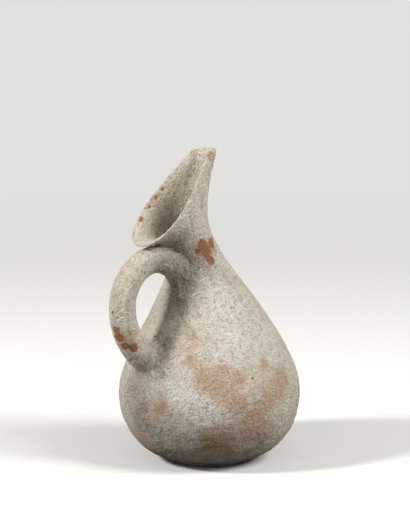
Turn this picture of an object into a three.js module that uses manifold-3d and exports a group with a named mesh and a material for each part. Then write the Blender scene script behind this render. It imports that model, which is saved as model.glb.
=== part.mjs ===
// A hand-built jug of fired clay with a cut-away beak, put together the way its potter did it.
// A base pad carries two wall courses, a neck and a beak, joined at bevelled seams. The rod handle
// is pegged through the shoulder, and collars of wet clay, called luting, bind its two ends.
// Millimetres, +Z up, +X towards the beak, origin in the middle of the base's underside.

import * as THREE from 'three';
import { mergeVertices } from 'three/addons/utils/BufferGeometryUtils.js';
import Module from 'manifold-3d';

const wasm = await Module();
wasm.setup();

// Fit between neighbouring pieces of clay
const seamGap = 0.3;
const seamBevel = 4;

// Base pad
const baseRadius = 36;
const baseSpread = 3.5;
const baseThickness = 4.5;
const baseEdge = 1;

// Wall of the body: outline from the foot to the belly, then from the belly up to the throat
const wallThickness = 5.5;
const footLedge = 3;
const footPull = 23.5;
const footAngle = 23;
const bellyRadius = 72.9;
const bellyHeight = 54;
const bellyPullDown = 18.7;
const bellyPullUp = 39;
const neckRadius = 28;

// Throat, the narrowest ring, set back towards the handle and leaning the same way
const throatRadius = 20.5;
const throatHeight = 174.7;
const throatSetBack = 20.7;
const throatLean = 29.7;
const throatPull = 28.8;
const leanStart = 31;
const spinePull = 32.2;

// Beak: an egg-shaped rim on a sloping cut, which gives way to a level, rounded tip
const rimWall = 3.6;
const rimHalfLength = 60;
const rimHalfWidth = 21.5;
const rimEgg = 0.59;
const rimSlope = 49.2;
const rimBehindThroat = 9.6;
const tipRise = 75.3;
const tipReach = 13.3;
const tipTurn = 55.7;
const beakSeamRise = 9;
const beakPull = 24.8;
const lipRise = 1.2;

// Handle: a rod of clay whose two ends swell where they meet the vessel
const handleThickness = 21.6;
const handleWidth = 21.6;
const handleSwell = 0.12;
const handleSwellLength = 16;
const handleTopDrop = 3.5;
const handleTopPull = 47;
const handleTopAngle = 29;
const handleFootHeight = 88.5;
const handleFootPull = 62.4;
const handleFootAngle = 37;

// Peg at the handle's foot, and the pad of clay that holds it inside the shoulder
const pegRadius = 7;
const pegTaper = 1.2;
const pegReach = 3;
const padRadius = 14;
const padThickness = 6;

// Luting collars
const collarSpread = 5;
const collarLength = 13;
const collarEdge = 0.8;

// Mesh fineness
const ringSides = 48;
const rodSides = 24;
const rodRows = 22;

const radians = THREE.MathUtils.degToRad;
const footRadius = baseRadius + baseSpread + footLedge;
const footHeight = baseThickness + seamGap;

// A direction in the jug's middle plane, from its angle above the horizontal
function heading(angle, towardsBeak = 1) {
  return new THREE.Vector3(towardsBeak * Math.cos(angle), 0, Math.sin(angle));
}

// The number between low and high at which a rising measure reaches the wanted value
function solve(measure, wanted, low, high) {
  for (let step = 0; step < 50; step += 1) {
    const middle = (low + high) / 2;
    if (measure(middle) < wanted) low = middle;
    else high = middle;
  }
  return (low + high) / 2;
}

// Outlines of the wall as radius and height, and the line that the ring centres follow
const footOutline = new THREE.CubicBezierCurve(
  new THREE.Vector2(footRadius, footHeight),
  new THREE.Vector2(
    footRadius + footPull * Math.cos(radians(footAngle)),
    footHeight + footPull * Math.sin(radians(footAngle)),
  ),
  new THREE.Vector2(bellyRadius, bellyHeight - bellyPullDown),
  new THREE.Vector2(bellyRadius, bellyHeight),
);
const shoulderOutline = new THREE.CubicBezierCurve(
  new THREE.Vector2(bellyRadius, bellyHeight),
  new THREE.Vector2(bellyRadius, bellyHeight + bellyPullUp),
  new THREE.Vector2(throatRadius, throatHeight - throatPull),
  new THREE.Vector2(throatRadius, throatHeight),
);
const spine = new THREE.CubicBezierCurve(
  new THREE.Vector2(0, leanStart),
  new THREE.Vector2(0, leanStart + spinePull),
  new THREE.Vector2(
    spinePull * Math.sin(radians(throatLean)) - throatSetBack,
    throatHeight - spinePull * Math.cos(radians(throatLean)),
  ),
  new THREE.Vector2(-throatSetBack, throatHeight),
);

// Centre and lean of the body's ring at one height
function spineAt(height) {
  if (height <= leanStart) return { x: 0, lean: 0 };
  const share = solve((at) => spine.getPoint(at).y, height, 0, 1);
  const tangent = spine.getTangent(share);
  return { x: spine.getPoint(share).x, lean: Math.atan2(-tangent.x, tangent.y) };
}

// A point of a round ring whose plane leans back with the spine
function ringPoint(radius, height, turn) {
  const { x, lean } = spineAt(height);
  return heading(lean)
    .multiplyScalar(radius * Math.cos(turn))
    .add(new THREE.Vector3(x, radius * Math.sin(turn), height));
}

// A point of the rim: an egg on the sloping cut, and a rounded, level tip in front of it
const tipCorner = radians(tipTurn);
const rimSetBack = throatSetBack + rimBehindThroat;
const tipEdge = throatHeight + tipRise - lipRise;
const rimHeight = tipEdge - rimHalfLength * Math.cos(tipCorner) * Math.sin(radians(rimSlope));
function eggPoint(turn) {
  const side = rimHalfWidth * Math.sin(turn) * (1 - rimEgg * Math.cos(turn));
  return heading(radians(rimSlope))
    .multiplyScalar(rimHalfLength * Math.cos(turn))
    .add(new THREE.Vector3(-rimSetBack, side, rimHeight));
}
function rimPoint(turn) {
  const fromTip = THREE.MathUtils.euclideanModulo(turn + Math.PI, 2 * Math.PI) - Math.PI;
  if (Math.abs(fromTip) > tipCorner) return eggPoint(fromTip);
  const corner = eggPoint(tipCorner);
  const share = (fromTip / tipCorner) * (Math.PI / 2);
  return new THREE.Vector3(
    corner.x + tipReach * Math.cos(share),
    corner.y * Math.sin(share),
    tipEdge,
  );
}

// The outer surface: 0 is the foot, 1 the belly, 2 the throat and 3 the rim
const belly = 1;
const throat = 2;
const rim = 3;
function wallPoint(along, turn) {
  if (along < throat) {
    const outline = along < belly ? footOutline : shoulderOutline;
    const at = outline.getPoint(along < belly ? along : along - belly);
    return ringPoint(at.x, at.y, turn);
  }
  const start = ringPoint(throatRadius, throatHeight, turn);
  const pull = heading(radians(90 + throatLean)).multiplyScalar(beakPull).add(start);
  return new THREE.QuadraticBezierCurve3(start, pull, rimPoint(turn)).getPoint(along - throat);
}

// The wall's outward direction
const probe = 1e-4;
function wallNormal(along, turn) {
  const rising = wallPoint(along + probe, turn).sub(wallPoint(along - probe, turn));
  const turning = wallPoint(along, turn + probe).sub(wallPoint(along, turn - probe));
  return turning.cross(rising).normalize();
}

// The wall thins from the throat to the rim
function wallAt(along) {
  return THREE.MathUtils.lerp(wallThickness, rimWall, Math.max(0, along - throat));
}

// A ring of the wall, moved outwards by an offset
function wallRing(along, offset) {
  return Array.from({ length: ringSides }, (_, side) => {
    const turn = (side / ringSides) * 2 * Math.PI;
    return wallNormal(along, turn).multiplyScalar(offset).add(wallPoint(along, turn));
  });
}

// The place that lies a distance in millimetres further up the wall, in short strides
const strides = 40;
function further(along, distance) {
  const side = Math.PI / 2;
  let reached = along;
  for (let stride = 0; stride < strides; stride += 1) {
    const ahead = reached + Math.sign(distance) * probe;
    const speed = wallPoint(ahead, side).distanceTo(wallPoint(reached, side)) / probe;
    reached += distance / strides / speed;
  }
  return reached;
}

// A closed geometry from rings of equal count: its last ring meets its first, or both ends are
// closed by a point in their middle
function ringsToGeometry(rings, closesOnItself) {
  const sides = rings[0].length;
  const points = rings.flat();
  const faces = [];
  const last = closesOnItself ? rings.length : rings.length - 1;
  for (let row = 0; row < last; row += 1) {
    for (let side = 0; side < sides; side += 1) {
      const next = (side + 1) % sides;
      const above = (row + 1) % rings.length;
      const corners = [row * sides + side, row * sides + next, above * sides + next, above * sides + side];
      faces.push(corners[0], corners[1], corners[2], corners[0], corners[2], corners[3]);
    }
  }
  if (!closesOnItself) {
    const centre = (ring) =>
      ring.reduce((sum, point) => sum.add(point), new THREE.Vector3()).divideScalar(ring.length);
    points.push(centre(rings[0]), centre(rings[rings.length - 1]));
    const topRow = (rings.length - 1) * sides;
    for (let side = 0; side < sides; side += 1) {
      const next = (side + 1) % sides;
      faces.push(points.length - 2, next, side);
      faces.push(points.length - 1, topRow + side, topRow + next);
    }
  }
  const geometry = new THREE.BufferGeometry().setFromPoints(points);
  geometry.setIndex(faces);
  return geometry;
}

// Between a geometry and a solid that can be cut and joined
function toSolid(geometry) {
  const plain = geometry.clone();
  plain.deleteAttribute('normal');
  plain.deleteAttribute('uv');
  const merged = mergeVertices(plain, 1e-4);
  return new wasm.Manifold(
    new wasm.Mesh({
      numProp: 3,
      vertProperties: merged.attributes.position.array,
      triVerts: new Uint32Array(merged.index.array),
    }),
  );
}
function toGeometry(solid) {
  const mesh = solid.getMesh();
  const geometry = new THREE.BufferGeometry();
  geometry.setAttribute('position', new THREE.BufferAttribute(mesh.vertProperties, 3));
  geometry.setIndex(new THREE.BufferAttribute(mesh.triVerts, 1));
  geometry.computeVertexNormals();
  return geometry;
}

// Evenly spaced places between two others, both included
function places(from, to, rows) {
  return Array.from({ length: rows + 1 }, (_, row) => THREE.MathUtils.lerp(from, to, row / rows));
}

// Where the courses of the wall meet
const neckSeam = belly + solve((at) => -shoulderOutline.getPoint(at).x, -neckRadius, 0, 1);
const halfGap = (seamGap / 2) * Math.hypot(1, seamBevel / wallThickness);
const lowerPlaces = places(0, further(belly, -halfGap), 7);
const shoulderPlaces = places(further(belly, halfGap), further(neckSeam, -halfGap), 11);
const beakSeam = further(throat, beakSeamRise);
const neckPlaces = places(further(neckSeam, halfGap), further(beakSeam, -halfGap), 5);
const beakPlaces = places(further(beakSeam, halfGap), rim, 8);

// The inner surface of a course, from its top to its bottom, shifted down where a seam slopes
function innerRings(course, bevelTop, bevelBottom) {
  const top = course[course.length - 1];
  const bottom = course[0];
  const from = bevelTop ? further(top, -seamBevel) : top;
  const to = bevelBottom ? further(bottom, -seamBevel) : bottom;
  return places(from, to, course.length - 1).map((along) => wallRing(along, -wallAt(along)));
}

// The round clay pad that the jug stands on
function basePad() {
  const topRadius = baseRadius + baseSpread;
  return new THREE.LatheGeometry(
    [
      new THREE.Vector2(0, 0),
      new THREE.Vector2(baseRadius - baseEdge, 0),
      new THREE.Vector2(baseRadius, baseEdge / 2),
      new THREE.Vector2(topRadius, baseThickness - baseEdge),
      new THREE.Vector2(topRadius - baseEdge / 2, baseThickness),
      new THREE.Vector2(0, baseThickness),
    ],
    ringSides,
  ).rotateX(Math.PI / 2);
}

// The lower wall course, whose foot is cut level where it sits on the base pad
function lowerCourse() {
  const outer = lowerPlaces.map((along) => wallRing(along, 0));
  const levelWall = wallThickness / Math.sin(radians(footAngle));
  const heel = outer[0].map((point) =>
    point.clone().multiply(new THREE.Vector3(1 - levelWall / footRadius, 1 - levelWall / footRadius, 1)),
  );
  return ringsToGeometry([...outer, ...innerRings(lowerPlaces, true, false), heel], true);
}

// The shoulder and the neck, both with sloping seams at top and bottom
function upperCourse(course) {
  const outer = course.map((along) => wallRing(along, 0));
  return ringsToGeometry([...outer, ...innerRings(course, true, true)], true);
}

// The beak, whose lip is rounded
function beakCourse() {
  const outer = beakPlaces.map((along) => wallRing(along, 0));
  const inner = innerRings(beakPlaces, false, true);
  const crest = outer[outer.length - 1].map((point, side) => {
    const turn = (side / ringSides) * 2 * Math.PI;
    const upwards = wallPoint(rim, turn).sub(wallPoint(rim - probe, turn)).setLength(lipRise);
    return point.clone().lerp(inner[0][side], 0.5).add(upwards);
  });
  return ringsToGeometry([...outer, crest, ...inner], true);
}

// The whole vessel as one solid, grown by the fit, which trims what is set against it
function vesselBlank() {
  const all = [...lowerPlaces, ...shoulderPlaces, ...neckPlaces, ...beakPlaces];
  return toSolid(ringsToGeometry(all.map((along) => wallRing(along, seamGap)), false));
}

// The hollow of the shoulder, shrunk by the fit
function shoulderHollow() {
  const rings = shoulderPlaces.map((along) => wallRing(along, -wallThickness - seamGap));
  return toSolid(ringsToGeometry(rings, false));
}

// The handle's line, from the back of the neck out and down to the shoulder
const back = Math.PI;
const handleTop = wallPoint(further(throat, -handleTopDrop), back);
const handleFoot = wallPoint(
  solve((along) => wallPoint(along, back).z, handleFootHeight, 0, throat),
  back,
);
const handleLine = new THREE.CubicBezierCurve3(
  handleTop,
  heading(radians(handleTopAngle), -1).multiplyScalar(handleTopPull).add(handleTop),
  heading(radians(handleFootAngle), -1).multiplyScalar(handleFootPull).add(handleFoot),
  handleFoot,
);
const handleLength = handleLine.getLength();

// Centre and outward direction of the rod at a distance from its top, past its ends too
function rodFrame(distance) {
  const share = THREE.MathUtils.clamp(distance / handleLength, 0, 1);
  const tangent = handleLine.getTangentAt(share);
  const centre = handleLine.getPointAt(share).addScaledVector(tangent, distance - share * handleLength);
  return { centre, outward: new THREE.Vector3(tangent.z, 0, -tangent.x) };
}

// A ring of the rod, grown by an offset
function rodRing(distance, offset) {
  const { centre, outward } = rodFrame(distance);
  const fromEnd = Math.max(0, Math.min(distance, handleLength - distance));
  const swell = 1 + handleSwell * Math.exp(-((fromEnd / handleSwellLength) ** 2));
  return Array.from({ length: rodSides }, (_, side) => {
    const turn = (side / rodSides) * 2 * Math.PI;
    return outward
      .clone()
      .multiplyScalar(((handleThickness / 2) * swell + offset) * Math.cos(turn))
      .add(new THREE.Vector3(0, ((handleWidth / 2) * swell + offset) * Math.sin(turn), 0))
      .add(centre);
  });
}

// The rod as a blank that runs on into the vessel at both ends
function rodBlank(offset) {
  const run = wallThickness + handleThickness / 2;
  return toSolid(
    ringsToGeometry(
      places(-run, handleLength + run, rodRows).map((distance) => rodRing(distance, offset)),
      false,
    ),
  );
}

// The peg, from inside the handle's foot through the wall, grown by an offset
const pegEnd = wallThickness + pegReach;
function peg(offset) {
  const root = handleThickness / 2;
  const length = root + pegEnd + offset;
  const tip = pegRadius - pegTaper + offset;
  const shape = new THREE.CylinderGeometry(tip, pegRadius + offset, length, rodSides);
  shape.translate(0, length / 2 - root, 0);
  const inwards = handleLine.getTangentAt(1);
  shape.applyQuaternion(
    new THREE.Quaternion().setFromUnitVectors(new THREE.Vector3(0, 1, 0), inwards),
  );
  shape.translate(handleFoot.x, 0, handleFoot.z);
  return toSolid(shape);
}

// The handle, trimmed to the vessel, with its peg
function handleSolid() {
  return rodBlank(0).subtract(vesselBlank()).add(peg(0));
}

// The shoulder wall, bored for the peg
function shoulderSolid() {
  return toSolid(upperCourse(shoulderPlaces)).subtract(peg(seamGap));
}

// A domed pad of clay, pressed over the peg's end from inside
function pegPad() {
  const crown = wallThickness + padThickness;
  const dome = new THREE.LatheGeometry(
    [
      new THREE.Vector2(0, 0),
      new THREE.Vector2(padRadius, 0),
      new THREE.Vector2(padRadius, wallThickness),
      ...new THREE.QuadraticBezierCurve(
        new THREE.Vector2(padRadius, wallThickness),
        new THREE.Vector2(padRadius * 0.9, crown),
        new THREE.Vector2(0, crown),
      ).getPoints(5).slice(1),
    ],
    rodSides,
  );
  const inwards = handleLine.getTangentAt(1);
  dome.applyQuaternion(
    new THREE.Quaternion().setFromUnitVectors(new THREE.Vector3(0, 1, 0), inwards),
  );
  dome.translate(handleFoot.x, 0, handleFoot.z);
  return toSolid(dome).intersect(shoulderHollow()).subtract(peg(seamGap));
}

// A flared collar of luting round one end of the handle, laid against the vessel
function collar(endDistance, away) {
  const rows = places(-handleThickness / 2, collarLength, 6).map((reach) => {
    const share = Math.max(0, reach / collarLength);
    return rodRing(endDistance + away * reach, collarEdge + collarSpread * (1 - share) ** 2);
  });
  const rings = away > 0 ? rows : rows.reverse();
  return toSolid(ringsToGeometry(rings, false)).subtract(rodBlank(seamGap)).subtract(vesselBlank());
}

const clay = { roughness: 0.95, metalness: 0 };
const limeCoated = new THREE.MeshStandardMaterial({ color: '#cfc6ba', ...clay });
const creamClay = new THREE.MeshStandardMaterial({ color: '#c9bfae', ...clay });
const greyedClay = new THREE.MeshStandardMaterial({ color: '#a89d90', ...clay });

const jug = new THREE.Group();
function place(name, shape, material) {
  const geometry = shape instanceof THREE.BufferGeometry ? shape : toGeometry(shape);
  geometry.computeVertexNormals();
  const mesh = new THREE.Mesh(geometry, material);
  mesh.name = name;
  jug.add(mesh);
}

place('base_pad', basePad(), greyedClay);
place('lower_wall', lowerCourse(), creamClay);
place('shoulder_wall', shoulderSolid(), limeCoated);
place('neck', upperCourse(neckPlaces), limeCoated);
place('beak', beakCourse(), creamClay);
place('handle', handleSolid(), creamClay);
place('upper_handle_luting', collar(0, 1), greyedClay);
place('lower_handle_luting', collar(handleLength, -1), limeCoated);
place('peg_pad', pegPad(), greyedClay);

export default jug;
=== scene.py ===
"""A hand-built, beak-spouted jug of fired clay under a lime crust, with a looped rod handle."""

from math import cos, pi, radians, sin

import bpy
import numpy as np
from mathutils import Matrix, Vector, noise
from mathutils.bvhtree import BVHTree


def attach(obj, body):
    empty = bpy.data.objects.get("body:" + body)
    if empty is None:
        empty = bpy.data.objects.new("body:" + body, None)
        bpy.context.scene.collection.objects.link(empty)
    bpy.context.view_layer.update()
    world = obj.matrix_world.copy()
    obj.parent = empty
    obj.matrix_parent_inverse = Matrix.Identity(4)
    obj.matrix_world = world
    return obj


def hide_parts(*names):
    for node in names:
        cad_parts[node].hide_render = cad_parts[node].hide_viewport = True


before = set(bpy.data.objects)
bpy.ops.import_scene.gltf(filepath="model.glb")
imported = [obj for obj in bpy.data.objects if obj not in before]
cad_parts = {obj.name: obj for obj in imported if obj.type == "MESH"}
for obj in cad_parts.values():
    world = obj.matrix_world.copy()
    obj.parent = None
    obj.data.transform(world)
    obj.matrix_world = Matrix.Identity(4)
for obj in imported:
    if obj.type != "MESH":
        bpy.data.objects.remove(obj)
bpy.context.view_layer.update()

# Camera, placed where the photograph was taken from. Its picture is 410 by 527 pixels, and the
# places of marks on the clay are given below as pixels of that picture.
azimuth = radians(-40)
elevation = radians(10)
distance = 1.8
looks_at = Vector((-0.0048, 0, 0.1587))
picture_centre = (205, 263.5)
focal_px = 2270
sensor_mm = 36
backward = Vector((sin(azimuth) * cos(elevation), -cos(azimuth) * cos(elevation), sin(elevation)))
rightward = Vector((cos(azimuth), sin(azimuth), 0))
upward = backward.cross(rightward)
eye = looks_at + backward * distance
camera_data = bpy.data.cameras.new("camera")
camera_data.sensor_width = sensor_mm
camera_data.lens = focal_px / (2 * picture_centre[1]) * sensor_mm
camera = bpy.data.objects.new("camera", camera_data)
camera.location = eye
camera.rotation_euler = backward.to_track_quat("Z", "Y").to_euler()
bpy.context.collection.objects.link(camera)
bpy.context.scene.camera = camera
bpy.context.scene.view_settings.view_transform = "Standard"


# Studio: a soft lamp high on each side in an even, pale room. The left lamp is the smaller one and
# throws the shadow of the handle on the body.
def linear(code):
    """A hex sRGB colour as linear red, green, blue and alpha."""
    parts = [int(code[i:i + 2], 16) / 255 for i in (1, 3, 5)]
    return [c / 12.92 if c <= 0.04045 else ((c + 0.055) / 1.055) ** 2.4 for c in parts] + [1]


def add(tree, kind, links=None, **settings):
    """Adds a shader node. Links maps a socket in use, by name or number, to a value or a source."""
    made = tree.nodes.new("ShaderNode" + kind)
    for key, value in settings.items():
        setattr(made, key, value)
    sockets = [socket for socket in made.inputs if socket.enabled]
    names = [socket.name for socket in sockets]
    for key, value in (links or {}).items():
        socket = sockets[key if isinstance(key, int) else names.index(key)]
        if isinstance(value, bpy.types.Node):
            value = next(output for output in value.outputs if output.enabled)
        if isinstance(value, bpy.types.NodeSocket):
            tree.links.new(value, socket)
        else:
            socket.default_value = value
    return made


lamp_distance = 1.4
lamp_watts = 16.5
lamp_lift = Vector((0, 0, 0.6))


def lamp(name, towards, width):
    """A square soft lamp that shines on the jug from a direction."""
    data = bpy.data.lights.new(name, "AREA")
    data.size = width
    data.energy = lamp_watts
    made = bpy.data.objects.new(name, data)
    made.location = looks_at + towards.normalized() * lamp_distance
    made.rotation_euler = towards.to_track_quat("Z", "Y").to_euler()
    bpy.context.collection.objects.link(made)


lamp("right_lamp", rightward * 0.8 + backward * 0.45 + lamp_lift, 0.6)
lamp("left_lamp", rightward * -1 + backward * 0.5 + lamp_lift, 0.22)
room_light = 0.27
world = bpy.data.worlds.new("studio")
world.use_nodes = True
bpy.context.scene.world = world
room = world.node_tree
room.nodes.clear()
path = add(room, "LightPath").outputs
shown = add(room, "Math", {0: path["Is Camera Ray"], 1: path["Is Glossy Ray"]},
            operation="MAXIMUM")
shown = add(room, "Math", {0: shown, 1: path["Is Transmission Ray"]}, operation="MAXIMUM")
ambient = add(room, "Background", {"Color": linear("#FFFDFA"), "Strength": room_light})
backdrop = add(room, "Background", {"Color": linear("#ECECEA"), "Strength": 1})
either = add(room, "MixShader", {0: shown, 1: ambient, 2: backdrop})
add(room, "OutputWorld", {"Surface": either})

# Floor: a plain sheet of pale paper that the jug stands on. It throws little light back on the
# jug, and passes into the backdrop some way off.
floor_half = 30
fade_start = 0.25
fade_end = 1.6
floor_mesh = bpy.data.meshes.new("floor")
floor_corners = [(x * floor_half, y * floor_half, 0)
                 for x, y in ((-1, -1), (1, -1), (1, 1), (-1, 1))]
floor_mesh.from_pydata(floor_corners, [], [(0, 1, 2, 3)])
floor = bpy.data.objects.new("floor", floor_mesh)
bpy.context.collection.objects.link(floor)
floor_paper = bpy.data.materials.new("matt pale paper")
floor_paper.use_nodes = True
paper = floor_paper.node_tree
paper.nodes.clear()
to_camera = add(paper, "LightPath").outputs["Is Camera Ray"]
paper_tone = add(paper, "Mix", {"Factor": to_camera, "A": linear("#8E8D8A"),
                                "B": linear("#E6E5E2")}, data_type="RGBA")
paper_skin = add(paper, "BsdfDiffuse", {"Color": paper_tone, "Roughness": 1})
paper_place = add(paper, "TexCoord").outputs["Object"]
paper_reach = add(paper, "VectorMath", {0: paper_place}, operation="LENGTH")
paper_fade = add(paper, "MapRange", {"Value": paper_reach, "From Min": fade_start,
                                     "From Max": fade_end}, interpolation_type="SMOOTHSTEP")
paper_far = add(paper, "Math", {0: paper_fade, 1: to_camera}, operation="MULTIPLY")
paper_glow = add(paper, "Emission", {"Color": linear("#E2E1DE"), "Strength": 1})
paper_all = add(paper, "MixShader", {0: paper_far, 1: paper_skin, 2: paper_glow})
add(paper, "OutputMaterial", {"Surface": paper_all})
floor_mesh.materials.append(floor_paper)

# Lower wall: the course of the body from its foot, cut level on the base pad, to the belly. Soft
# clay was pinched and scraped to shape, fired to terracotta, and has grown a crust of lime since.
# Sizes are in millimetres up to the point where a mesh is made. A pull is the length over which a
# curve keeps to the direction of its end.
mm = 0.001
wall_thickness = 5.5
foot_radius = 42.5
foot_height = 4.8
foot_rise = radians(23)
foot_pull = 23.5
belly_radius = 72.9
belly_height = 54
belly_pull_down = 18.7
belly_pull_up = 39
throat_radius = 20.5
throat_height = 174.7
throat_setback = 20.7
throat_lean = radians(29.7)
throat_pull = 28.8
lean_start = 31
spine_pull = 32.2
rim_thickness = 3.6
rim_half_length = 60
rim_half_width = 21.5
rim_egg = 0.59
rim_slope = radians(49.2)
rim_setback = 30.3
tip_height = 248.8
tip_reach = 13.3
tip_turn = radians(55.7)
beak_pull = 24.8
curve_shares = np.linspace(0, 1, 2001)


def bezier(points, share):
    """Points on a Bezier curve through any number of control points."""
    share = np.asarray(share, float)[..., None]
    points = [np.asarray(point, float) for point in points]
    while len(points) > 1:
        points = [a + (b - a) * share for a, b in zip(points, points[1:])]
    return points[0]


def heading(angle, towards_beak=1):
    """A direction in the jug's middle plane, from its angle above the horizontal."""
    return np.array([towards_beak * cos(angle), 0, sin(angle)])


foot_outline = [(foot_radius, foot_height),
                (foot_radius + foot_pull * cos(foot_rise),
                 foot_height + foot_pull * sin(foot_rise)),
                (belly_radius, belly_height - belly_pull_down),
                (belly_radius, belly_height)]
shoulder_outline = [(belly_radius, belly_height),
                    (belly_radius, belly_height + belly_pull_up),
                    (throat_radius, throat_height - throat_pull),
                    (throat_radius, throat_height)]
spine = bezier([(0, lean_start), (0, lean_start + spine_pull),
                (spine_pull * sin(throat_lean) - throat_setback,
                 throat_height - spine_pull * cos(throat_lean)),
                (-throat_setback, throat_height)], curve_shares)
spine_slope = np.gradient(spine, axis=0)


def ring_point(radius, height, turn):
    """A point of a round ring whose plane leans back with the jug's spine."""
    centre = np.interp(height, spine[:, 1], spine[:, 0])
    lean = np.interp(height, spine[:, 1], np.arctan2(-spine_slope[:, 0], spine_slope[:, 1]))
    reach = radius * np.cos(turn)
    return np.stack(np.broadcast_arrays(centre + reach * np.cos(lean), radius * np.sin(turn),
                                        height + reach * np.sin(lean)), -1)


def rim_point(turn):
    """A point of the rim: an egg on the sloping cut, and a level, rounded tip in front of it."""
    turn = (turn + pi) % (2 * pi) - pi
    middle = tip_height - rim_half_length * cos(tip_turn) * sin(rim_slope)

    def egg(angle):
        reach = rim_half_length * np.cos(angle)
        side = rim_half_width * np.sin(angle) * (1 - rim_egg * np.cos(angle))
        return np.stack([reach * cos(rim_slope) - rim_setback, side,
                         reach * sin(rim_slope) + middle], -1)

    corner = egg(np.array(tip_turn))
    share = turn / tip_turn * pi / 2
    tip = np.stack([corner[0] + tip_reach * np.cos(share), corner[1] * np.sin(share),
                    np.full_like(share, tip_height)], -1)
    return np.where((np.abs(turn) > tip_turn)[..., None], egg(turn), tip)


def wall_point(along, turn):
    """The smooth outer surface. Along is 0 at the foot, 1 belly, 2 throat and 3 rim."""
    along, turn = np.broadcast_arrays(np.asarray(along, float), np.asarray(turn, float))
    low = bezier(foot_outline, np.clip(along, 0, 1))
    high = bezier(shoulder_outline, np.clip(along - 1, 0, 1))
    outline = np.where((along < 1)[..., None], low, high)
    body = ring_point(outline[..., 0], outline[..., 1], turn)
    start = ring_point(throat_radius, throat_height, turn)
    pull = start + beak_pull * heading(pi / 2 + throat_lean)
    beak = bezier([start, pull, rim_point(turn)], np.clip(along - 2, 0, 1))
    return np.where((along < 2)[..., None], body, beak)


small_step = 1e-3


def wall_normal(along, turn):
    """The outward direction of the smooth outer surface."""
    above = wall_point(np.minimum(along + small_step, 3), turn)
    below = wall_point(np.maximum(along - small_step, 0), turn)
    turning = wall_point(along, turn + small_step) - wall_point(along, turn - small_step)
    across = np.cross(turning, above - below)
    return across / np.linalg.norm(across, axis=-1, keepdims=True)


# A climb is the distance up the side of the jug in millimetres
steps = np.linspace(0, 3, 3001)
side_line = wall_point(steps, pi / 2)
climbs = np.concatenate([[0], np.cumsum(np.linalg.norm(np.diff(side_line, axis=0), axis=1))])


def climb_at(along):
    """The climb at a place along the wall."""
    return float(np.interp(along, steps, climbs))


def along_at(climb):
    """The place along the wall at a climb."""
    return np.interp(climb, climbs, steps)


def tree_of(pieces, unit=1.0):
    """A search tree of the faces of some pieces, in metres or in another unit of length."""
    points, faces = [], []
    for piece in pieces:
        start = len(points)
        points += [vertex.co / unit for vertex in piece.data.vertices]
        faces += [[start + corner for corner in face.vertices] for face in piece.data.polygons]
    return BVHTree.FromPolygons(points, faces)


whole_jug = tree_of(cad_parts.values())


def seen_at(x, y):
    """The point of the jug that shows at a pixel, in millimetres."""
    ray = -backward + rightward * ((x - picture_centre[0]) / focal_px)
    ray += upward * ((picture_centre[1] - y) / focal_px)
    return np.array(whole_jug.ray_cast(eye, ray.normalized())[0]) / mm


def marks_at(pixels):
    """Marks of wear and painted shade, from pixels of their middles and radii in millimetres."""
    return [(seen_at(x, y), radius) for x, y, radius in pixels]


# Chips: the crust has flaked off and shows the brick-red clay
neck_chips = [(203, 245, 5.2), (212, 243, 4.8), (207, 251, 5.4), (211, 260, 4.2), (198, 252, 3)]
handle_chips = [(116, 331, 4), (119, 338, 4.6), (125, 347, 3.6), (133, 348, 4), (112, 313, 1.6)]
rim_chips = [(141, 219, 2.4), (150, 207, 1.4), (156, 198, 1.6), (163, 189, 1.3)]
belly_chips = [(253, 378, 1.5)]
chips = marks_at(neck_chips + handle_chips + rim_chips + belly_chips)

# Rusts: the crust is thin, and the clay shows through it
belly_rusts = [(204, 377, 11), (213, 384, 12), (226, 392, 13), (239, 376, 8), (222, 372, 9),
               (265, 362, 8), (283, 377, 10), (270, 400, 13), (261, 413, 11), (277, 391, 9)]
shoulder_rusts = [(191, 330, 5), (190, 345, 6), (191, 361, 6)]
foot_rusts = [(252, 430, 14), (217, 440, 14), (147, 445, 13), (160, 408, 7), (236, 405, 9)]
beak_rusts = [(214, 157, 6), (150, 205, 5), (158, 196, 5)]
chip_rusts = [(122, 340, 9), (208, 250, 11)]
rusts = marks_at(belly_rusts + shoulder_rusts + foot_rusts + beak_rusts + chip_rusts)

# Greys: darker grey marks, partly thick crust, pitted and full of soil, and partly painted shade
# Throat greys: grey crust, with painted shade under the rim and where the handle's shadow starts
throat_greys_and_shade = [(184, 262, 18), (178, 248, 13), (188, 240, 9), (186, 280, 12)]
# Handle greys: the painted shadow of the handle on the body, and painted shade at its roots
handle_painted_shadows = [(165, 262, 9), (158, 354, 10), (176, 300, 14), (160, 372, 9)]
# Foot greys: painted shade on the foot's underside, and darker grey low on the left side
foot_greys_and_shade = [(215, 452, 24), (170, 448, 24), (255, 447, 14), (145, 420, 20), (135, 390, 14)]
greys_and_shade = marks_at(throat_greys_and_shade + handle_painted_shadows + foot_greys_and_shade)

# Blooms: the lime is whitest
shoulder_blooms = [(238, 335, 26), (228, 305, 20), (262, 345, 20), (215, 290, 14)]
foot_blooms = [(185, 395, 15), (206, 420, 12)]
beak_blooms = [(182, 215, 8), (168, 262, 5)]
blooms = marks_at(shoulder_blooms + foot_blooms + beak_blooms)

# The sides that the photograph doesn't show are worn in the same way, at places drawn by lot
lot = np.random.default_rng(11)
lot_low, lot_high = 0.3, 2.2
lot_from, lot_to = -0.1 * pi, 0.75 * pi
for marks, count, smallest, largest in ((rusts, 12, 5, 14), (greys_and_shade, 8, 8, 18),
                                        (blooms, 10, 10, 24), (chips, 5, 1.5, 4)):
    lot_alongs = lot.uniform(lot_low, lot_high, count)
    lot_turns = lot.uniform(lot_from, lot_to, count)
    for place in wall_point(lot_alongs, lot_turns):
        marks.append((place, lot.uniform(smallest, largest)))


def spots(points, marks):
    """How strongly round marks touch each point, from 0 to 1."""
    touch = np.zeros(len(points))
    for centre, radius in marks:
        away = np.linalg.norm(points - centre, axis=1)
        touch = np.maximum(touch, np.exp(-(away / radius) ** 2))
    return touch


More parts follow.
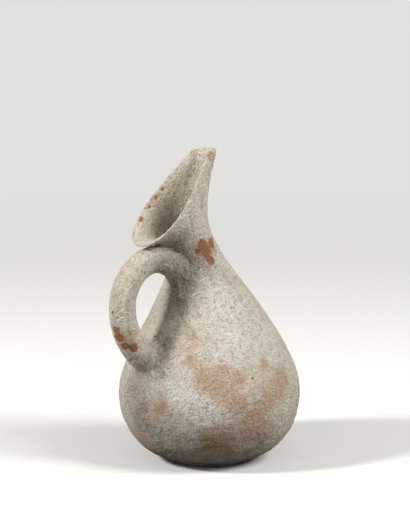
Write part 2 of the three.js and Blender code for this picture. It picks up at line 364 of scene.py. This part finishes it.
# The layers of noise below are each a height or reach in millimetres, and waves in a millimetre
clay_layers = ((0.62, 0.021), (0.34, 0.055), (0.24, 0.16), (0.24, 0.36), (0.2, 0.62))
chip_layers = ((0.3, 0.4), (0.2, 0.95))
stain_layers = ((9, 0.07), (3.5, 0.24))
noise.seed_set(5)


def waves(place, layers):
    """The height at a place of some layers of noise together."""
    return sum(height * noise.noise(place * rate) for height, rate in layers)


def blurred(points):
    """The points moved about a little, so that round marks get the ragged edges of stains."""
    moved = points.copy()
    for i, point in enumerate(points.tolist()):
        place = Vector(point)
        moved[i] += sum((noise.noise_vector(place * rate) * reach for reach, rate in stain_layers),
                        Vector())
    return moved


chip_fringe = 0.6


def bareness(points):
    """Above 0 inside a chip that has lost its crust, with a ragged edge."""
    inside = np.full(len(points), -1.0)
    for centre, radius in chips:
        inside = np.maximum(inside, 1 - np.linalg.norm(points - centre, axis=1) / radius)
    for i in np.flatnonzero(inside > -chip_fringe):
        inside[i] += waves(Vector(points[i]), chip_layers)
    return inside


pit_cells = 0.12        # cells in a millimetre, of which almost half hold a pit
pit_size = 0.13         # a pit's radius as a share of its cell
pit_depth = 0.55
pit_choice = 0.1        # a cell's number, from -1 to 1, above which it has its pit
pit_shuffle = 7.3
grey_roughness = 0.9    # how much more uneven the grey crust is
grey_sinking = 0.25
crust_depth = 0.45      # how deep a chip lies in the crust
chip_steepness = 6
mean_depth = 0.4        # the middle level of the uneven surface, under the smooth one
top_softness = 0.15     # how gently the highest places are held under the smooth surface


def relief(points, strength=1.0):
    """How far the uneven, crusted clay lies under the smooth surface, in millimetres."""
    height = np.empty(len(points))
    for i, point in enumerate(points.tolist()):
        place = Vector(point)
        height[i] = waves(place, clay_layers)
        nearness, cells = noise.voronoi(place * pit_cells)
        pit = nearness[0] / pit_size
        if pit < 1 and noise.cell(cells[0] * pit_shuffle) > pit_choice:
            height[i] -= pit_depth * (1 - pit * pit)
    rough = spots(points, greys_and_shade)
    height *= strength * (1 + grey_roughness * rough)
    height -= grey_sinking * rough
    height -= crust_depth * np.clip(bareness(points) * chip_steepness, 0, 1) + mean_depth
    return -top_softness * np.log1p(np.exp(-height / top_softness))


# Painted shade: the clay is painted darker grey over this height, in millimetres, above the floor
ground_shade_height = 17
sharp_edge = radians(55)


def make_piece(name, rings, material, wraps=False):
    """A closed mesh from a stack of rings, in millimetres. It closes on itself or in two poles."""
    rows, sides = rings.shape[:2]
    points = rings.reshape(-1, 3)
    row, side = np.meshgrid(np.arange(rows if wraps else rows - 1), np.arange(sides),
                            indexing="ij")
    above, beside = (row + 1) % rows, (side + 1) % sides
    quads = np.stack([row * sides + side, row * sides + beside, above * sides + beside,
                      above * sides + side], -1).reshape(-1, 4)
    faces = quads.tolist()
    if not wraps:
        poles = [rings[0].mean(0), rings[-1].mean(0)]
        points = np.vstack([points, poles])
        low, high, top = len(points) - 2, len(points) - 1, (rows - 1) * sides
        for at in range(sides):
            after = (at + 1) % sides
            faces += [[low, after, at], [high, top + at, top + after]]
    mesh = bpy.data.meshes.new(name)
    mesh.from_pydata((points * mm).tolist(), [], faces)
    stained = blurred(points)
    # Painted shade: grey that grows towards the floor, added to the grey marks
    ground_painted_shade = np.clip(1 - stained[:, 2] / ground_shade_height, 0, 1)
    # These fields hold the chips, the thin crust, and the grey marks with their painted shade
    fields = np.stack([bareness(points), spots(stained, rusts),
                       np.maximum(spots(stained, greys_and_shade), ground_painted_shade)], -1)
    wear_and_shade = mesh.attributes.new("wear_and_shade", "FLOAT_VECTOR", "POINT")
    wear_and_shade.data.foreach_set("vector", fields.astype(np.float32).ravel())
    bloom = mesh.attributes.new("bloom", "FLOAT", "POINT")
    bloom.data.foreach_set("value", spots(stained, blooms).astype(np.float32))
    mesh.shade_smooth()
    mesh.set_sharp_from_angle(angle=sharp_edge)
    mesh.materials.append(material)
    piece = bpy.data.objects.new(name, mesh)
    bpy.context.collection.objects.link(piece)
    return piece


# Terracotta under a lime crust: dead matt and chalky, dusted with grey-brown soil in every pore,
# whiter where the lime is thick, rusty where it is thin and brick red where it has flaked off.
pale_lime = linear("#F1ECE2")
cream_lime = linear("#E0D2BC")
# This grey is also painted shade, at the handle, under the rim and on the foot
grey_crust_and_shade = linear("#7F766D")
rusty_clay = linear("#C2936B")
brick_clay = linear("#AC775A")
pore_soil = linear("#7C6B5A")
crust_roughness = 0.95
crust_gloss = 0.15
grain_depth = 1.9 * mm
lime_crust = bpy.data.materials.new("lime crust on terracotta")
lime_crust.use_nodes = True
crust = lime_crust.node_tree
crust.nodes.clear()
place = add(crust, "TexCoord").outputs["Object"]
# Chips, thin crust, and grey marks with painted shade, read from the mesh
wear_and_shade = add(crust, "Attribute", attribute_name="wear_and_shade").outputs["Vector"]
chipped, rusted, greyed_and_shaded = add(crust, "SeparateXYZ", {0: wear_and_shade}).outputs
bloomed = add(crust, "Attribute", attribute_name="bloom").outputs["Fac"]

# Five grains, by the size in millimetres of each. In Map Range below, 1 and 2 are the ends of what
# is read, and 3 and 4 the ends of what is given.
clouds, blotches, patches, specks, dust = [
    add(crust, "TexNoise", {"Vector": place, "Scale": 1 / (size * mm), "Detail": detail,
                            "Roughness": roughness})
    for size, detail, roughness in ((34, 4, 0.6), (11, 5, 0.65), (4.2, 4, 0.72),
                                    (1.5, 3, 0.75), (0.7, 2, 0.6))]

# Cream lime, paler where it has bloomed and in clouds and blotches
lime = add(crust, "Math", {0: bloomed, 1: 0.75}, operation="MULTIPLY")
cloudy = add(crust, "MapRange", {0: clouds, 1: 0.42, 2: 0.66, 4: 0.45})
lime = add(crust, "Math", {0: lime, 1: cloudy}, operation="ADD")
blotchy = add(crust, "MapRange", {0: blotches, 1: 0.38, 2: 0.66})
lime = add(crust, "Math", {0: blotchy, 1: 0.5, 2: lime}, operation="MULTIPLY_ADD")
paleness = add(crust, "MapRange", {0: lime, 1: 0.15, 2: 1.05})
colour = add(crust, "Mix", {"Factor": paleness, "A": cream_lime, "B": pale_lime},
             data_type="RGBA")

# Soil between the patches of lime, and in blotches the grey of the grey marks: crust and painted
# shade
hollows = add(crust, "MapRange", {0: patches, 1: 0.5, 2: 0.36, 4: 0.42})
colour = add(crust, "Mix", {"Factor": hollows, "A": colour, "B": pore_soil}, data_type="RGBA")
grey_blotches = add(crust, "MapRange", {0: blotches, 1: 0.36, 2: 0.62, 3: 0.25})
greyness_and_shade = add(crust, "Math", {0: greyed_and_shaded, 1: grey_blotches}, operation="MULTIPLY")
greyness_and_shade = add(crust, "Math", {0: greyness_and_shade, 1: 0.85}, operation="MULTIPLY")
colour = add(crust, "Mix", {"Factor": greyness_and_shade, "A": colour, "B": grey_crust_and_shade}, data_type="RGBA")

# Rusty clay, in the marks of thin crust and in small loose flakes everywhere
thin = add(crust, "MapRange", {0: rusted, 1: 0.1, 2: 0.65})
broken = add(crust, "MapRange", {0: patches, 1: 0.36, 2: 0.52})
stain = add(crust, "Math", {0: thin, 1: broken}, operation="MULTIPLY")
flaky = add(crust, "MapRange", {0: blotches, 1: 0.58, 2: 0.7})
flakes = add(crust, "MapRange", {0: patches, 1: 0.48, 2: 0.6, 4: 0.4})
loose = add(crust, "Math", {0: flaky, 1: flakes}, operation="MULTIPLY")
rust = add(crust, "Math", {0: stain, 1: loose}, operation="MAXIMUM")
rust = add(crust, "Math", {0: rust, 1: 0.8}, operation="MULTIPLY")
colour = add(crust, "Mix", {"Factor": rust, "A": colour, "B": rusty_clay}, data_type="RGBA")

# Specks of soil in the pores, fewer in some clouds, and a dust of lime over all
speck_level = add(crust, "MapRange", {0: clouds, 1: 0.3, 2: 0.7, 3: 0.56, 4: 0.5})
above_level = add(crust, "Math", {0: specks, 1: speck_level}, operation="SUBTRACT")
soiled = add(crust, "MapRange", {0: above_level, 1: 0, 2: 0.08})
soiled = add(crust, "Math", {0: soiled, 1: 0.55}, operation="MULTIPLY")
colour = add(crust, "Mix", {"Factor": soiled, "A": colour, "B": pore_soil}, data_type="RGBA")
dusted = add(crust, "MapRange", {0: dust, 1: 0.5, 2: 0.68, 4: 0.6})
colour = add(crust, "Mix", {"Factor": dusted, "A": colour, "B": pale_lime}, data_type="RGBA")

# Brick-red clay in the chips, with a ragged edge and some rust left on it
fray = add(crust, "Math", {0: specks, 1: 0.5}, operation="SUBTRACT")
ragged = add(crust, "Math", {0: fray, 1: 0.9, 2: chipped}, operation="MULTIPLY_ADD")
bare = add(crust, "MapRange", {0: ragged, 1: 0, 2: 0.1})
dusting = add(crust, "MapRange", {0: specks, 1: 0.48, 2: 0.62, 4: 0.6})
brick = add(crust, "Mix", {"Factor": dusting, "A": brick_clay, "B": rusty_clay},
            data_type="RGBA")
colour = add(crust, "Mix", {"Factor": bare, "A": colour, "B": brick}, data_type="RGBA")

# The grain of the surface, with pits for specks, and coarser in the grey crust
grain = add(crust, "Math", {0: patches, 1: 1.3}, operation="MULTIPLY")
grain = add(crust, "Math", {0: specks, 1: -1, 2: grain}, operation="MULTIPLY_ADD")
grain = add(crust, "Math", {0: dust, 1: 0.45, 2: grain}, operation="MULTIPLY_ADD")
coarseness = add(crust, "MapRange", {0: greyed_and_shaded, 1: 0, 2: 0.8, 3: 1, 4: 1.6})
grain = add(crust, "Math", {0: grain, 1: coarseness}, operation="MULTIPLY")
bump = add(crust, "Bump", {"Strength": 1, "Distance": grain_depth, "Height": grain})
skin = add(crust, "BsdfPrincipled", {"Base Color": colour, "Roughness": crust_roughness,
                                     "Specular IOR Level": crust_gloss, "Normal": bump})
add(crust, "OutputMaterial", {"Surface": skin})

ring_sides = 512
row_mm = 0.9
inner_row_mm = 4
bevel = 4
heel_share = 0.67
inner_strength = 0.7
neck_radius = 28
beak_seam_rise = 9
turns = np.linspace(0, 2 * pi, ring_sides, endpoint=False)
radii = bezier(shoulder_outline, curve_shares)[:, 0]
belly_seam = climb_at(1)
neck_seam = climb_at(1 + float(np.interp(-neck_radius, -radii, curve_shares)))
beak_seam = climb_at(2) + beak_seam_rise
rim_climb = climb_at(3)


def wall_rows(low, high, rows, inner=False):
    """Rings of the outer or inner surface between two climbs, with their unevenness."""
    along = along_at(np.linspace(low, high, rows))[:, None]
    points, normals = wall_point(along, turns[None]), wall_normal(along, turns[None])
    if inner:
        thinning = (rim_thickness - wall_thickness) * np.clip(along - 2, 0, 1)
        points = points - normals * (wall_thickness + thinning)[..., None]
        lifts = relief(points.reshape(-1, 3), inner_strength).reshape(rows, ring_sides, 1)
        return points - normals * (lifts + mean_depth)
    lifts = relief(points.reshape(-1, 3)).reshape(rows, ring_sides, 1)
    return points + normals * lifts


def wall_course(name, low, high, foot=False):
    """A course of the wall, closed by sloping seams, or by its heel at the foot."""
    outer = wall_rows(low, high, int((high - low) / row_mm) + 2)
    bottom = low if foot else low - bevel
    inner = wall_rows(high - bevel, bottom, int((high - low) / inner_row_mm) + 2, inner=True)
    rings = [outer, inner]
    if foot:
        heel = outer[:1] * np.array([heel_share, heel_share, 1])
        rings = [outer, inner[:-2], heel]
    return make_piece(name, np.concatenate(rings), lime_crust, wraps=True)


lower_wall = wall_course("lower_wall_clay", 0, belly_seam, foot=True)
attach(lower_wall, "root")
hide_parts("lower_wall")

# Shoulder wall: the widest course, drawn in from the belly to the neck over one hand-high sweep.
# The joins with its neighbours were smeared shut with a wet finger, so they do not show.
shoulder_wall = wall_course("shoulder_wall_clay", belly_seam, neck_seam)
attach(shoulder_wall, "root")
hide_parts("shoulder_wall")

# Neck: a short, narrow course that leans back towards the handle. The crust has flaked off its
# front in a two-lobed patch, which shows the brick-red clay.
neck = wall_course("neck_clay", neck_seam, beak_seam)
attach(neck, "root")
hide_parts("neck")

# Beak: the wall cut away on a slope and pinched to a tall spout. Its lip was wiped round with a
# wet finger, a little less inside than out, and has worn uneven.
lip_rise = 0.9
lip_inset = 1.1
lip_depth = 5
lip_inner_share = 0.6
lip_rows = 9
beak_extra_rows = 12
beak_inner_rows = 64
beak_outer_rows = int((rim_climb - beak_seam) / row_mm) + beak_extra_rows
beak_outer = wall_rows(beak_seam, rim_climb, beak_outer_rows)
beak_inner = wall_rows(rim_climb, beak_seam - bevel, beak_inner_rows, inner=True)
through = beak_inner[0] - beak_outer[-1]
through /= np.linalg.norm(through, axis=-1, keepdims=True)
for surface, side in ((beak_outer, 1), (beak_inner[::-1], -lip_inner_share)):
    to_rim = np.linspace(rim_climb - beak_seam, 0, len(surface))
    share = np.clip(1 - to_rim / lip_depth, 0, 1)
    surface += side * lip_inset * (1 - np.sqrt(1 - share ** 2))[:, None, None] * through
lip_middle = (beak_outer[-1] + beak_inner[0]) / 2
lip_up = wall_point(3, turns) - wall_point(3 - small_step, turns)
lip_up /= np.linalg.norm(lip_up, axis=-1, keepdims=True)
lip_side = beak_outer[-1] - lip_middle
lip = np.stack([lip_middle + lip_side * cos(bend) + lip_up * lip_rise * sin(bend)
                for bend in np.linspace(0, pi, lip_rows)[1:-1]])
beak_rings = np.concatenate([beak_outer, lip, beak_inner])
beak = make_piece("beak_clay", beak_rings, lime_crust, wraps=True)
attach(beak, "root")
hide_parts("beak")

# Base pad: a flat round pad of clay, pressed on a board, which the lower wall was raised on.
# Its edge is soft and worn, and painted shade darkens it as it does all clay near the floor. The
# outline gives radius and height.
base_outline = [(6, 0), (20, 0), (30, 0), (33.5, 0), (35.2, 0.25), (36.2, 1.1), (37.4, 2.4),
                (38.6, 3.7), (39, 4.3), (38.7, 4.6), (37, 4.75), (25, 4.75), (6, 4.75)]
base_rings = np.array([[(radius * cos(turn), radius * sin(turn), height) for turn in turns]
                       for radius, height in base_outline])
base_flat = base_rings * (1, 1, 0)
outwards = base_flat / np.linalg.norm(base_flat, axis=-1, keepdims=True)
base_lift = relief(base_rings.reshape(-1, 3)).reshape(base_rings.shape[:2] + (1,))
base_pad = make_piece("base_pad_clay", base_rings + outwards * base_lift, lime_crust)
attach(base_pad, "root")
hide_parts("base_pad")

# Handle: a thick rod rolled by hand, bent into a loop from under the rim to the shoulder. Wear has
# taken the crust off its outer bend.
rod_radius = 10.8
rod_swell = 0.12
rod_swell_length = 16
rod_strength = 0.9
rod_rows = 220
rod_sides = 120
top_drop = 3.5
top_rise = radians(29)
top_pull = 47
root_height = 88.5
root_rise = radians(37)
root_pull = 62.4
body_steps = steps[:2000]
back_line = wall_point(body_steps, pi)
handle_top = wall_point(along_at(climb_at(2) - top_drop), pi)
handle_root = wall_point(np.interp(root_height, back_line[:, 2], body_steps), pi)
handle_line = bezier([handle_top, handle_top + top_pull * heading(top_rise, -1),
                      handle_root + root_pull * heading(root_rise, -1), handle_root],
                     curve_shares)
reached = np.concatenate([[0], np.cumsum(np.linalg.norm(np.diff(handle_line, axis=0), axis=1))])
handle_length = reached[-1]
handle_slope = np.gradient(handle_line, axis=0)
handle_slope /= np.linalg.norm(handle_slope, axis=1, keepdims=True)
leftward = np.array([0, 1, 0])


def rod_point(distance_mm, turn):
    """A point of the rod's smooth surface and its outward direction, past the rod's ends too."""
    distance_mm, turn = np.broadcast_arrays(distance_mm, turn)
    held = np.clip(distance_mm, 0, handle_length)
    centre = np.stack([np.interp(held, reached, handle_line[:, axis]) for axis in range(3)], -1)
    slope = np.stack([np.interp(held, reached, handle_slope[:, axis]) for axis in range(3)], -1)
    centre = centre + slope * (distance_mm - held)[..., None]
    outward = np.stack([slope[..., 2], 0 * held, -slope[..., 0]], -1)
    radial = outward * np.cos(turn)[..., None] + leftward * np.sin(turn)[..., None]
    from_end = np.minimum(held, handle_length - held)
    radius = rod_radius * (1 + rod_swell * np.exp(-(from_end / rod_swell_length) ** 2))
    return centre + radial * radius[..., None], radial


vessel = tree_of([shoulder_wall, neck, beak], mm)
rod_turns = np.linspace(0, 2 * pi, rod_sides, endpoint=False)
rod_sunk = 0.8
walk_start = 40.0
walk_step = 0.4
walk_limit = 160
walk_nearness = 4


def where_rod_enters(turn, start, step):
    """Walks along one side line of the rod until it is just inside the vessel's wall."""
    at = start
    for _ in range(walk_limit):
        point = Vector(rod_point(np.array(at), np.array(turn))[0])
        near, normal, _, _ = vessel.find_nearest(point)
        if (point - near).dot(normal) < -rod_sunk and (point - near).length < walk_nearness:
            break
        at += step
    return at


upper_ends = np.array([where_rod_enters(turn, walk_start, -walk_step) for turn in rod_turns])
lower_ends = np.array([where_rod_enters(turn, handle_length - walk_start, walk_step)
                       for turn in rod_turns])
rod_shares = np.linspace(0, 1, rod_rows)[:, None]
rod_distances = upper_ends + (lower_ends - upper_ends) * rod_shares
rod_surface, rod_radial = rod_point(rod_distances, rod_turns[None])
rod_lift = relief(rod_surface.reshape(-1, 3), rod_strength).reshape(rod_rows, rod_sides, 1)
handle = make_piece("handle_clay", rod_surface + rod_radial * rod_lift, lime_crust)
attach(handle, "root")
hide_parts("handle")

# Lutings: wet clay smeared into the angles where the rod meets the vessel, thick under the loop.
# Their rough surface is greyer than the rest, partly soil in the crust and partly painted shade in
# the angles.
luting_rows = 22
luting_reach = 11
luting_spread_in = 9
upper_spread_out = 5
lower_spread_out = 9
rod_edge_sink = 0.45
corner_fill = 0.3
back_sink = 0.7
back_drop = 0.6
back_inset = 0.9
lump_strength = 1.3
lump_rise = 0.35


def luting(name, ends, towards_middle, spread_out):
    """A smeared fillet round one end of the rod, tangent to the rod and to the wall."""
    meets, radial = rod_point(ends, rod_turns)
    hub = meets.mean(0)
    rows = np.linspace(0, 1, luting_rows)
    rings = []
    for turn, end, corner, away in zip(rod_turns, ends, meets, radial):
        near, normal, _, _ = vessel.find_nearest(Vector(corner))
        near, normal = np.array(near), np.array(normal)
        across = corner - hub
        across -= normal * across.dot(normal)
        across /= np.linalg.norm(across)
        outer_share = (1 + cos(turn)) / 2
        spread = luting_spread_in + (spread_out - luting_spread_in) * outer_share
        wall_edge, wall_up, _, _ = vessel.find_nearest(Vector(near + across * spread))
        wall_edge, wall_up = np.array(wall_edge), np.array(wall_up)
        rod_edge, _ = rod_point(np.array(end + towards_middle * luting_reach), np.array(turn))
        rod_edge = rod_edge - away * rod_edge_sink
        section = bezier([rod_edge, corner + (away + normal) * corner_fill, wall_edge], rows)
        back_way = [wall_edge - wall_up * back_sink,
                    corner - normal * back_drop - away * back_inset,
                    rod_edge - away * back_sink]
        rings.append(np.vstack([section, back_way]))
    rings = np.array(rings).transpose(1, 0, 2)
    smooth = rings[:luting_rows]
    lumps = relief(smooth.reshape(-1, 3), lump_strength).reshape(luting_rows, rod_sides, 1)
    fade = np.sin(np.linspace(0, pi, luting_rows))[:, None, None]
    rings[:luting_rows] = smooth + radial[None] * (lumps + lump_rise) * fade
    if towards_middle < 0:
        rings = rings[:, ::-1]
    return make_piece(name, rings[::-1], lime_crust, wraps=True)


upper_luting = luting("upper_luting_clay", upper_ends, 1, upper_spread_out)
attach(upper_luting, "root")
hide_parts("upper_handle_luting")
lower_luting = luting("lower_luting_clay", lower_ends, -1, lower_spread_out)
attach(lower_luting, "root")
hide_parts("lower_handle_luting")

# Peg pad: a thumb-pressed lump of clay inside the shoulder, over the end of the handle's peg.
pad_radius = 13
pad_height = 5.5
pad_rows = 14
pad_sides = 96
pad_middle_share = 0.08
pad_sink = 0.2
pad_floor_shares = (0.1, 0.9)
pad_floor_sink = 0.3
peg_depth = 9
inwards = handle_slope[-1]
pad_side = np.cross(inwards, (0, 1, 0))
pad_middle = handle_root + inwards * peg_depth
pad_rings = []
for share in np.linspace(1, pad_middle_share, pad_rows):
    ring = []
    for turn in np.linspace(0, 2 * pi, pad_sides, endpoint=False):
        radial = pad_side * cos(turn) + leftward * sin(turn)
        hit = vessel.find_nearest(Vector(pad_middle + pad_radius * share * radial))[0]
        rise = pad_height * np.sqrt(1 - share ** 2) - pad_sink
        ring.append(np.array(hit) + inwards * rise)
    pad_rings.append(ring)
pad_rings = np.array(pad_rings)
pad_lift = relief(pad_rings.reshape(-1, 3)).reshape(pad_rings.shape[:2] + (1,))
pad_top = pad_rings + inwards * pad_lift
edge_middle = pad_rings[0].mean(0)
pad_floor = np.array([(pad_rings[0] - edge_middle) * share + edge_middle
                      for share in pad_floor_shares])
pad_stack = np.concatenate([pad_floor - inwards * pad_floor_sink, pad_top])
peg_pad = make_piece("peg_pad_clay", pad_stack, lime_crust)
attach(peg_pad, "root")
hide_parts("peg_pad")
